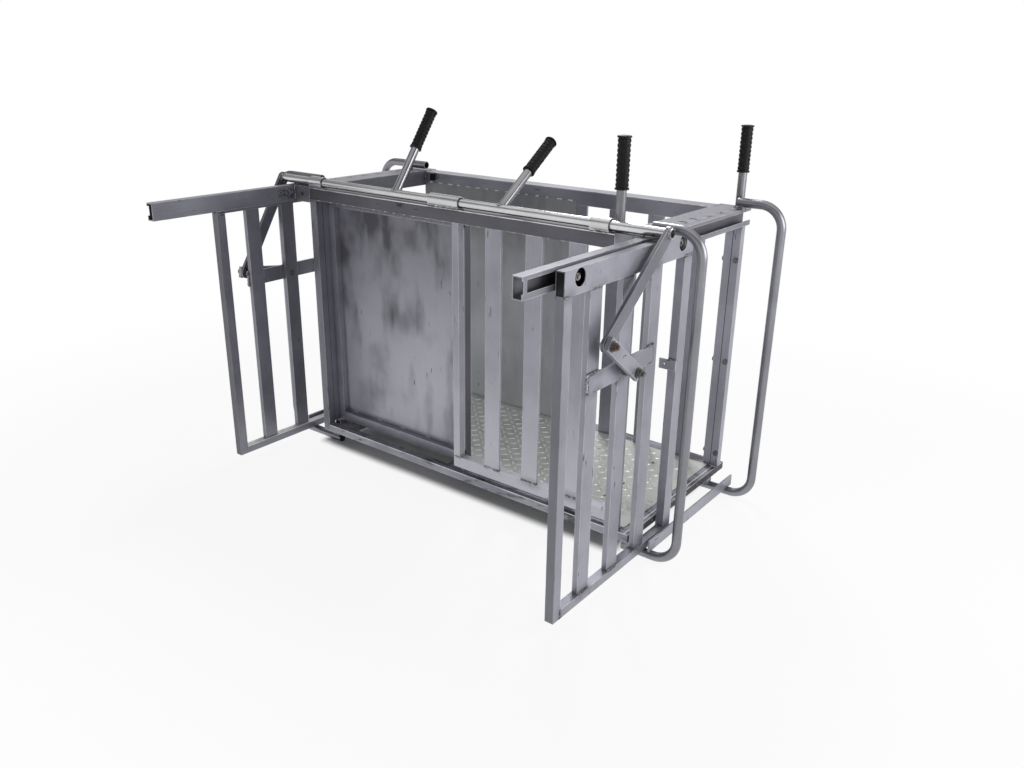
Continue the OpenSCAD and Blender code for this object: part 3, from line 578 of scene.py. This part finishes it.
# %% Edges with painted highlights
SILL_MIDDLE = gate_start("left") + 0.3035
PAINTED_HIGHLIGHTS = {
    "near_top_rail": [seam((0.0, NEAR_FACE, 0.8925), (0.61, 0.0008, 0.0014))],
    "base_frame": [
        seam((0.0, NEAR_FACE, 0.0245), (0.70, 0.0008, 0.0010)),
        seam((0.704, 0.0, 0.0250), (0.0006, 0.32, 0.0008)),
        seam((0.690, 0.0, 0.0250), (0.0012, 0.32, 0.0008)),
    ],
    "far_top_rail": [seam((0.0, 0.260, 0.8925), (0.61, 0.0008, 0.0012))],
    # Painted highlight: the top of the left gate's sill made bright.
    "gate_frame_left": [seam((-GATE_X, SILL_MIDDLE, -0.0065), (0.0135, 0.2720, 0.0012), 0.85)],
}
print("rubbed pieces", list(PAINTED_HIGHLIGHTS))

# %% [markdown]
# ## Steel, rubber and nylon
# Bolts are zinc plated steel going rusty, the grips, bushes and caps are black rubber with dust on them, and the
# rollers are grimy nylon. Each could be one flat colour, but at this size a bolt would look like plastic. Two
# scales of noise, one for patches and one for grit, are enough.

# %% Small finishes
RUST_DARK, RUST_PALE = (0.05, 0.024, 0.012), (0.16, 0.075, 0.03)
NYLON, GRIME = (0.62, 0.60, 0.55), (0.14, 0.12, 0.10)


def rusted_steel(name, rust=0.5, pale=0.3):
    f = Finish(name)
    rusty = f.step(f.noise(95.0, 5.0, rough=0.7), 0.60 - 0.28 * rust, 0.72 - 0.28 * rust)
    grit = f.noise(420.0, 3.0)
    steel = f.mix(grit, (pale / 3, pale / 3, pale / 3), (pale, pale, pale))
    brown = f.mix(f.noise(210.0, 4.0, shift=(2, 2, 2)), RUST_DARK, RUST_PALE)
    f.set("Base Color", f.mix(rusty, steel, brown))
    f.set("Metallic", 0.6 - rusty * 0.5)
    f.set("Roughness", 0.38 + rusty * 0.42)
    f.bump(grit * 0.5 + rusty * 0.5, 0.0004, 0.5)
    return f.material


def rubber(name, shade=0.007, dust=0.018):
    f = Finish(name)
    powder = f.step(f.noise(38.0, 5.0, rough=0.65), 0.46, 0.74)
    f.set("Base Color", f.mix(powder * 0.5, (shade, shade, shade * 1.2), (dust, dust, dust)))
    f.set("Specular IOR Level", 0.22)
    f.set("Roughness", 0.42 + powder * 0.28)
    f.bump(f.noise(900.0, 2.0), 0.00015, 0.5)
    return f.material


def nylon(name):
    f = Finish(name)
    grime = f.step(f.noise(60.0, 4.0, rough=0.7), 0.45, 0.68)
    f.set("Base Color", f.mix(grime * 0.8, NYLON, GRIME))
    f.set("Roughness", 0.45 + grime * 0.3)
    f.bump(grime, 0.0002, 0.4)
    return f.material


print("small finishes", [kind.__name__ for kind in (rusted_steel, rubber, nylon)])

# %% [markdown]
# ## A finish for every solid
# No two bars of a used crate are quite the same grey, and drawn pipe is brighter than bar. One shared material
# would be lighter to keep. Each solid has its own here, because soot and stains differ from bar to bar, and a
# few tables say what sets a piece apart from plain bar. One table scales the bar colour of whole pieces: painted
# shade for pieces that stand in shade, painted light for the far right post.

# %% Tables of looks
ALONG_Y = ("end_rail", "track", "guide")
ALONG_Z = ("post", "near_slats", "far_slats", "panel_frame", "gate_frame", "loop", "hand_post", "crank_", "lever")
ALONG_Z += ("far_sheet", "panel_sheet")
TUBE_LOOK = dict(light=(0.72, 0.72, 0.73), dark=0.8, metal=0.95, rough=0.24, pipe=True)
PIPE_LOOKS = {
    "torque": TUBE_LOOK,
    "sleeve": TUBE_LOOK,
    "lever": dict(light=(0.36, 0.36, 0.38), dark=0.7, metal=0.95, rough=0.2, pipe=True),
    "hand_post": dict(light=(0.25, 0.25, 0.265), dark=0.7, metal=0.85, rough=0.26, pipe=True),
    "loop": dict(light=(0.31, 0.31, 0.345), dark=0.7, metal=0.9, rough=0.31, pipe=True),
}
LOOKS = {
    "floor_plate": dict(light=(0.68, 0.70, 0.66), dark=0.82, metal=0.15, rough=0.42, scuff_and_shadow=0.2),
    "far_sheet": dict(light=(0.72, 0.74, 0.75), dark=0.86, metal=0.25, rough=0.4),
    "panel_sheet": dict(light=(0.545, 0.55, 0.625), dark=0.86, metal=0.4, rough=0.36),
    # Heavy dark scuffs on the base: scuffs, and also painted patches of shadow.
    "base_frame": dict(dark=0.5, scuff_and_shadow=0.8),
    # Painted light: the near slats are paler low down.
    "near_slats": dict(painted_ground_light=0.45),
}
# Painted light and shade: each piece's bar colour is scaled down where it stands in shade and up where it stands in
# light.
PAINTED_LIGHT_LEVELS = {
    "near_top_rail": 0.34, "far_top_rail": 0.9, "end_rail_left": 0.7, "end_rail_right": 0.75,
    "track_left": 0.8, "track_right": 0.7, "crank_left": 0.66, "crank_right": 0.62,
    "gate_frame_left": 0.75, "post_near_left": 0.75, "post_far_right": 1.2,
}
for name, shade in PAINTED_LIGHT_LEVELS.items():
    LOOKS[name] = dict(light=tuple(c * shade for c in LIGHT))
print("pieces apart from plain bar", len(LOOKS))


# %% Dress every solid
def dress(name):
    if name.startswith(("grip", "hand_grip", "bump_stop")):
        return rubber(name)
    if name.startswith("bush"):
        return rubber(name, 0.012, 0.02)
    if name.startswith(("crank_bolt", "link_bolt")):
        return rusted_steel(name, 0.6)
    if name.startswith(("gate_fixings", "post_bolts")):
        return rusted_steel(name, 0.35, 0.26)
    if name.startswith("roller"):
        return nylon(name)
    along = "Y" if name.startswith(ALONG_Y) else "Z" if name.startswith(ALONG_Z) else "X"
    look = LOOKS.get(name, {})
    for start, pipe_look in PIPE_LOOKS.items():
        if name.startswith(start):
            look = pipe_look
    return aluminium(name, along, extra=STAINS_AND_SHADE.get(name, ()), highlights=PAINTED_HIGHLIGHTS.get(name, ()), **look)


for name, obj in nodes.items():
    finish = dress(name)
    obj.data.materials.clear()
    obj.data.materials.append(finish)
print("finishes", len(bpy.data.materials))

# %% [markdown]
# ## Weld beads
# A hand weld is a row of overlapping puddles. It could be a rope of bump on the metal, but that would vanish at
# the outline. Each puddle here is one small flattened ball of a few faces, turned and sized a little differently
# from the last, so a bead catches light along its ripples.

# %% Stamps and pieces
dice = random.Random(11)


def template(bm, name):
    mesh = bpy.data.meshes.new(name)
    bm.to_mesh(mesh)
    bm.free()
    return mesh


def stamp(bm, shape, place):
    copy = shape.copy()
    copy.transform(place)
    bm.from_mesh(copy)
    bpy.data.meshes.remove(copy)


def piece(name, bm, body, material, smooth=True):
    mesh = template(bm, name)
    for p in mesh.polygons:
        p.use_smooth = smooth
    mesh.materials.append(material)
    obj = bpy.data.objects.new(name, mesh)
    bpy.context.scene.collection.objects.link(obj)
    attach(obj, body)
    print(name, len(mesh.polygons), "faces on", body)
    return obj


# %% Puddles in a row
bm = bmesh.new()
bmesh.ops.create_uvsphere(bm, u_segments=8, v_segments=5, radius=1.0)
PUDDLE = template(bm, "puddle")
FLATTENED = 0.75


def puddle(bm, at, along, r):
    turn = along.to_track_quat("X", "Z").to_matrix().to_4x4()
    size = Matrix.Diagonal((r * dice.uniform(0.75, 0.95), r * dice.uniform(0.95, 1.15), r * FLATTENED, 1.0))
    wobble = Vector([dice.uniform(-0.12, 0.12) * r for k in range(3)])
    stamp(bm, PUDDLE, Matrix.Translation(at + wobble) @ turn @ size)


def bead(bm, a, b, r):
    along = b - a
    count = max(2, round(along.length / r))
    for k in range(count + 1):
        puddle(bm, a + along * (k / count), along.normalized(), r * dice.uniform(0.88, 1.12))


print("one puddle", len(PUDDLE.polygons), "faces")

# %% Tacks along the sheets and the near rail
FAR_TACK, PANEL_TACK, RAIL_TACK = 0.0030, 0.0018, 0.0013
tacks = []


def tack(start, x, z, r):
    tacks.append((start, start + Vector((x, 0, z)), r))


for k in range(15):
    tack(Vector((-0.58 + 0.0462 * k, 0.2588, 0.8556)), dice.uniform(0.004, 0.02), 0, FAR_TACK)
for k in range(5):
    tack(Vector((-0.52 + 0.12 * k, -0.2415, 0.0685)), 0.016, 0, PANEL_TACK)
for k in range(4):
    tack(Vector((0.0175, -0.2415, 0.16 + 0.18 * k)), 0, 0.016, PANEL_TACK)
for k in range(27):
    start = Vector((-0.57 + 0.0434 * k + dice.uniform(0.0, 0.02), NEAR_FACE, 0.8532))
    tack(start, dice.uniform(0.003, 0.014), 0, RAIL_TACK)
print("tacks", len(tacks))

# %% Lay the beads
beads = {}
for on, a, b, r, also in welds:
    body = body_of_node[on]
    if body not in beads:
        beads[body] = bmesh.new()
    bead(beads[body], a, b, r)
tack_beads = bmesh.new()
for a, b, r in tacks:
    bead(tack_beads, a, b, r)
print("bodies with beads", list(beads))

# %% [markdown]
# ## Rings of weld at pipe feet
# Where a pipe stands on a bar or another pipe, the bead runs right round its foot. A torus would be too even.
# The same puddles are laid on a circle, and where a lever stands on its torque tube each one is lifted by the
# height of the tube's curve, so that the ring follows the saddle.

# %% Rings
PIPE_RADIUS = 0.01345
TUBE = Vector((0, -0.306, 0.912))
LEVER_X = 0.210
LEAN = {"left": math.radians(36), "right": math.radians(55)}
UP, ACROSS = Vector((0, 0, 1)), Vector((1, 0, 0))
POST_RING, LEVER_RING, CRANK_RING = 0.0146, 0.0144, 0.0148
CRANK_FACES = (0.7495, 0.7605)


def ring(bm, centre, axis, radius, r, lift=None):
    u = axis.orthogonal().normalized()
    v = axis.cross(u)
    count = round(2 * math.pi * radius / r)
    points = []
    for k in range(count):
        t = 2 * math.pi * k / count
        p = centre + (u * math.cos(t) + v * math.sin(t)) * radius
        points.append(p + axis * (lift(p) if lift else 0.0))
    for k, p in enumerate(points):
        puddle(bm, p, points[(k + 1) % count] - p, r * dice.uniform(0.85, 1.15))


def saddle(foot, across):
    def lift(p):
        off = min(PIPE_RADIUS, abs((p - foot).dot(across)))
        return math.sqrt(max(0.0, PIPE_RADIUS**2 - off**2)) + 0.0006

    return lift


ring(beads["crate"], Vector((0.589, -0.2711, 0.8938)), UP, POST_RING, 0.0030)
ring(beads["crate"], Vector((0.678, 0.296, 0.8968)), UP, POST_RING, 0.0034)
for side, s in sides:
    lever_beads = beads["lever_" + side] = bmesh.new()
    axis = Vector((0, math.sin(LEAN[side]), math.cos(LEAN[side])))
    foot = Vector((LEVER_X * s, TUBE.y, TUBE.z))
    ring(lever_beads, foot, axis, LEVER_RING, 0.0028, saddle(foot, axis.cross(ACROSS)))
    for x in CRANK_FACES:
        ring(lever_beads, Vector((x * s, TUBE.y, TUBE.z)), ACROSS, CRANK_RING, 0.0022)
print("bead faces", {body: len(bm.faces) for body, bm in beads.items()})

# %% Bead finish and pieces
BEAD, SEARED = (0.50, 0.50, 0.53), (0.045, 0.045, 0.05)
weld_metal = Finish("weld_metal")
sear = weld_metal.step(weld_metal.noise(150.0, 5.0, rough=0.75), 0.44, 0.60)
weld_metal.set("Base Color", weld_metal.mix(sear * 0.9, BEAD, SEARED))
weld_metal.set("Metallic", 0.45)
weld_metal.set("Roughness", 0.34 + sear * 0.35)
weld_metal.bump(weld_metal.noise(700.0, 3.0), 0.0003, 0.5)
for body, bm in beads.items():
    piece("weld_beads_" + body, bm, body, weld_metal.material)
# Tack welds in the pale worn colour: clean metal, and also a painted highlight.
clean_and_highlit = aluminium("tack_welds", "X", light=WORN_AND_HIGHLIGHT, dark=0.8, rough=0.3, pipe=True)
piece("tack_welds", tack_beads, "crate", clean_and_highlit)

# %% [markdown]
# ## Tread plate
# Raised bars stop an animal slipping. They could be a bump in the floor's finish, but they catch the light from
# the side, so they are real. One bar is a ring of ten points, drawn up and pinched. It is laid over the floor in
# rows that turn left and right in turn, missing out the bolt holes.

# %% One tread bar
bm = bmesh.new()
disc = bmesh.ops.create_circle(bm, cap_ends=True, segments=10, radius=1.0)["verts"][0].link_faces[0]
top = bmesh.ops.extrude_discrete_faces(bm, faces=[disc])["faces"][0].verts[:]
bmesh.ops.translate(bm, verts=top, vec=(0, 0, 1))
bmesh.ops.scale(bm, verts=top, vec=(0.62, 0.62, 1))
bmesh.ops.recalc_face_normals(bm, faces=bm.faces)
BAR = template(bm, "tread_bar")
print("one bar", len(BAR.polygons), "faces")

# %% Tread bars
PITCH, MARGIN, FIRST, CLEAR = 0.0305, 0.03, 0.022, 0.022
PANEL_SIDE, PANEL_END = -0.222, 0.062
BAR_SIZE, SUNK = Matrix.Diagonal((0.0135, 0.0042, 0.0024, 1)), 0.0002
HOLES = [(x, y) for x in (-0.523, 0.523) for y in (-0.153, -0.046, 0.046, 0.153)]
plate_lo, plate_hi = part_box("floor_plate")
columns = int((plate_hi.x - plate_lo.x - MARGIN) / PITCH)
rows = int((plate_hi.y - plate_lo.y - MARGIN) / PITCH)
bm = bmesh.new()
for i in range(columns):
    for j in range(rows):
        x = plate_lo.x + FIRST + i * PITCH
        y = plate_lo.y + FIRST + j * PITCH
        in_hole = min(math.hypot(x - hx, y - hy) for hx, hy in HOLES) < CLEAR
        if in_hole or (x < PANEL_END and y < PANEL_SIDE):
            continue
        turn = Matrix.Rotation(math.radians(45 if (i + j) % 2 else -45), 4, "Z")
        stamp(bm, BAR, Matrix.Translation((x, y, plate_hi.z - SUNK)) @ turn @ BAR_SIZE)
# The bars are painted much paler than the plate: a painted highlight for the light their raised sides catch.
tread = aluminium("tread_bars", "X", light=(0.88, 0.90, 0.86), dark=0.9, metal=0.4, rough=0.3, pipe=True)
piece("tread_bars", bm, "crate", tread, smooth=False)

# %% [markdown]
# ## Moulded grips
# A bicycle style grip is rows of rounded blocks on a sleeve, each row turned half a block from the last, with a
# flange at both ends. It could be cut from one tube by many insets. Stamping a block is simpler: a small rectangle
# is spun through an arc and bevelled, the sleeve is a profile spun all the way round, and the whole grip is made
# once, upright, then laid along each lever.

# %% One block
GRIP_TALL, ROWS, BLOCKS = 0.138, 10, 7
BLOCK_IN, BLOCK_OUT, BLOCK_HALF = 0.0152, 0.0178, 0.0044
ARC = 2 * math.pi / BLOCKS * 0.86
SHARP = 0.9
Z_AXIS, ORIGIN = (0, 0, 1), (0, 0, 0)


def soften(bm, edges, offset, segments=1):
    bmesh.ops.bevel(
        bm, geom=edges, affect="EDGES", offset=offset, segments=segments, profile=0.5, material=-1
    )


def sharp_edges(bm):
    return [e for e in bm.edges if e.calc_face_angle(0) > SHARP]


bm = bmesh.new()
outline = ((BLOCK_IN, -BLOCK_HALF), (BLOCK_OUT, -BLOCK_HALF), (BLOCK_OUT, BLOCK_HALF), (BLOCK_IN, BLOCK_HALF))
start = bm.faces.new([bm.verts.new((r, 0, z)) for r, z in outline])
bmesh.ops.rotate(bm, verts=bm.verts, cent=ORIGIN, matrix=Matrix.Rotation(-ARC / 2, 3, "Z"))
bmesh.ops.spin(bm, geom=[start, *start.edges, *start.verts], axis=Z_AXIS, cent=ORIGIN, angle=ARC, steps=3)
bmesh.ops.recalc_face_normals(bm, faces=bm.faces)
soften(bm, sharp_edges(bm), 0.0013)
BLOCK = template(bm, "grip_block")
print("one block", len(BLOCK.polygons), "faces")


# %% Sleeve and blocks
def full_turn(bm, profile, steps):
    line = [bm.verts.new((r, 0, z)) for r, z in profile]
    edges = [bm.edges.new(pair) for pair in zip(line, line[1:])]
    bmesh.ops.spin(
        bm, geom=line + edges, axis=Z_AXIS, cent=ORIGIN, angle=2 * math.pi, steps=steps, use_merge=True
    )
    bmesh.ops.remove_doubles(bm, verts=bm.verts, dist=0.00001)
    bmesh.ops.recalc_face_normals(bm, faces=bm.faces)


low_flange = [(0.0135, 0), (0.0188, 0), (0.0194, 0.0008), (0.0194, 0.0042), (0.0186, 0.005), (0.0163, 0.0058)]
top_flange = [(0.0163, -0.0058), (0.0186, -0.005), (0.0194, -0.0042), (0.0194, -0.0014), (0.0184, 0)]
top_flange += [(0.009, 0.0012), (0, 0.0014)]
bm = bmesh.new()
full_turn(bm, low_flange + [(r, GRIP_TALL + z) for r, z in top_flange], 28)
FLANGE = 0.006
step_up = (GRIP_TALL - 2 * FLANGE) / ROWS
for row in range(ROWS):
    for k in range(BLOCKS):
        turn = Matrix.Rotation(2 * math.pi * (k + 0.5 * (row % 2)) / BLOCKS, 4, "Z")
        stamp(bm, BLOCK, Matrix.Translation((0, 0, FLANGE + step_up * (row + 0.5))) @ turn)
GRIP = template(bm, "grip_shape")
print("one grip", len(GRIP.polygons), "faces")

# %% Four grips
GRIP_UP_LEVER = 0.162


def grip(name, node, place):
    bm = bmesh.new()
    stamp(bm, GRIP, place)
    obj = piece(name, bm, body_of_node[node], nodes[node].data.materials[0], smooth=False)
    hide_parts(node)


for side, s in sides:
    lay = Matrix.Translation((LEVER_X * s, TUBE.y, TUBE.z)) @ Matrix.Rotation(-LEAN[side], 4, "X")
    grip("moulded_grip_" + side, "grip_" + side, lay @ Matrix.Translation((0, 0, GRIP_UP_LEVER)))
for node in ("hand_grip_near", "hand_grip_far"):
    lo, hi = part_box(node)
    grip("moulded_" + node, node, Matrix.Translation(((lo.x + hi.x) / 2, (lo.y + hi.y) / 2, lo.z)))

# %% [markdown]
# ## Bolt threads
# The tails of the link bolts stick out past their nuts and show a few turns of thread. A true helix would take
# a screw modifier and many faces. At this size four shallow rings look the same, each a ridge spun all the way
# round.

# %% Threads
RIDGE_LOW, RIDGE_HIGH, RIDGE_HALF = 0.0057, 0.0064, 0.0008
TURNS = 4
BAND_BOLT = (0.289, 0.582)
SIDEWAYS = Matrix.Rotation(math.pi / 2, 4, "Y")
bm = bmesh.new()
full_turn(bm, ((RIDGE_LOW, -RIDGE_HALF), (RIDGE_HIGH, 0), (RIDGE_LOW, RIDGE_HALF)), 14)
RIDGE = template(bm, "thread_ridge")
for side, s in sides:
    for node in ("link_bolt_" + side, "gate_fixings_" + side):
        lo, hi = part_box(node)
        end = hi.x if s > 0 else lo.x
        at = (lo + hi) / 2
        if node.startswith("gate"):
            at = Vector((0, gate_start(side) + BAND_BOLT[0], BAND_BOLT[1]))
        bm = bmesh.new()
        for k in range(TURNS):
            inwards = RIDGE_HALF + 2 * RIDGE_HALF * k
            stamp(bm, RIDGE, Matrix.Translation((end - s * inwards, at.y, at.z)) @ SIDEWAYS)
        piece("threads_" + node, bm, body_of_node[node], nodes[node].data.materials[0])

# %% [markdown]
# ## Caps, rivets and a bolt head
# Black caps close the open ends of the gate rails and the left pipe feet, rivets hold the strip along the sill,
# and one bolt head shows inside the left end cap. They could be solids too, but they carry nothing. A bevelled
# cube, a short cone and a flattened ball are all they need.

# %% Caps
CAP_SIZE = Matrix.Diagonal((0.0196, 0.006, 0.0546, 1))
CAP_IN = 0.0042
FOOT_X, FOOT_Z = -0.5745, -0.048


def stub(bm, place, segments, radius, tall, tip=None):
    bmesh.ops.create_cone(
        bm, cap_ends=True, segments=segments, radius1=radius, radius2=tip or radius, depth=tall, matrix=place
    )


black = rubber("black_caps", 0.02, 0.04)
for side, s in sides:
    bm = bmesh.new()
    bmesh.ops.create_cube(bm, size=1.0, matrix=CAP_SIZE)
    soften(bm, bm.edges[:], 0.0012, 2)
    bmesh.ops.translate(bm, verts=bm.verts, vec=(GATE_X * s, gate_start(side) + CAP_IN, GATE_RAIL_Z))
    piece("rail_cap_" + side, bm, "gate_" + side, black, smooth=False)

bm = bmesh.new()
for y in (-LOOP_Y, LOOP_Y):
    stub(bm, Matrix.Translation((FOOT_X, y, FOOT_Z)) @ SIDEWAYS, 24, 0.0136, 0.004, 0.0128)
piece("foot_caps", bm, "crate", black, smooth=False)

# %% Rivets and the bolt head
RIVETS, RIVET_PITCH = 8, 0.075
RIVET_SIZE = Matrix.Diagonal((0.0014, 0.0032, 0.0032, 1))
bm = bmesh.new()
for k in range(RIVETS):
    stamp(bm, PUDDLE, Matrix.Translation((0.7042, -0.25 + RIVET_PITCH * k, 0.013)) @ RIVET_SIZE)
piece("sill_rivets", bm, "crate", weld_metal.material)

bm = bmesh.new()
facing_near = Matrix.Translation((-0.6425, -0.3185, 0.869)) @ Matrix.Rotation(math.pi / 2, 4, "X")
stub(bm, facing_near, 6, 0.0056, 0.004)
piece("cap_bolt", bm, "crate", rusted_steel("cap_bolt", 0.3, 0.12), smooth=False)

# %% [markdown]
# ## Axle nuts
# Through a round hole in the gate rail a spanner reaches the nut on each roller's axle. The nut could come from
# a library of fasteners. A six sided stub with a thinner round one through it, both lightly bevelled, reads as
# nut and bolt end, and rides on its gate.

# %% Nuts
AXLE_X, AXLE_Z, AXLES = 0.7255, 0.8663, (0.062, 0.560)
for side, s in sides:
    bm = bmesh.new()
    for y in AXLES:
        place = Matrix.Translation((AXLE_X * s, gate_start(side) + y, AXLE_Z)) @ SIDEWAYS
        stub(bm, place, 6, 0.0105, 0.009)
        stub(bm, place, 14, 0.005, 0.016)
    soften(bm, sharp_edges(bm), 0.0006)
    name = "axle_nuts_" + side
    piece(name, bm, "gate_" + side, rusted_steel(name, 0.5, 0.4), smooth=False)

# %% [markdown]
# ## Finish
# Dressing should not make the crate any bigger than its solids.
